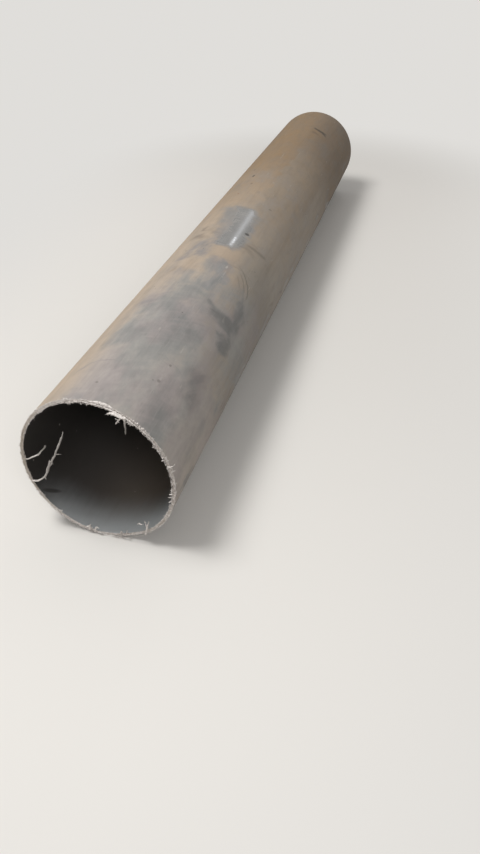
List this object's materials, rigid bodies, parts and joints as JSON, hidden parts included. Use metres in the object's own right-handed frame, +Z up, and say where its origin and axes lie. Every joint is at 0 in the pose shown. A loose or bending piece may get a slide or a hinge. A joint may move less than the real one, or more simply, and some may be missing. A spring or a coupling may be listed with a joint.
{
  "type": "pvc pipe",
  "caption": "Short cut length of plain round grey plastic drain pipe with a through bore, one end roughly sawn with burrs.",
  "frame": {"origin": "on the floor under the pipe's axis, midway between its two ends", "axes": "+Y along the pipe's axis from the roughly sawn mouth to the square end, +Z up, +X to the right seen from the mouth"},
  "size_m": [0.16, 1.1624, 0.1599],
  "materials": {
    "grey_pvc": "extruded grey plastic, dusty and scuffed"
  },
  "bodies": {
    "root": {"pipe": "grey_pvc"}
  },
  "joints": []
}
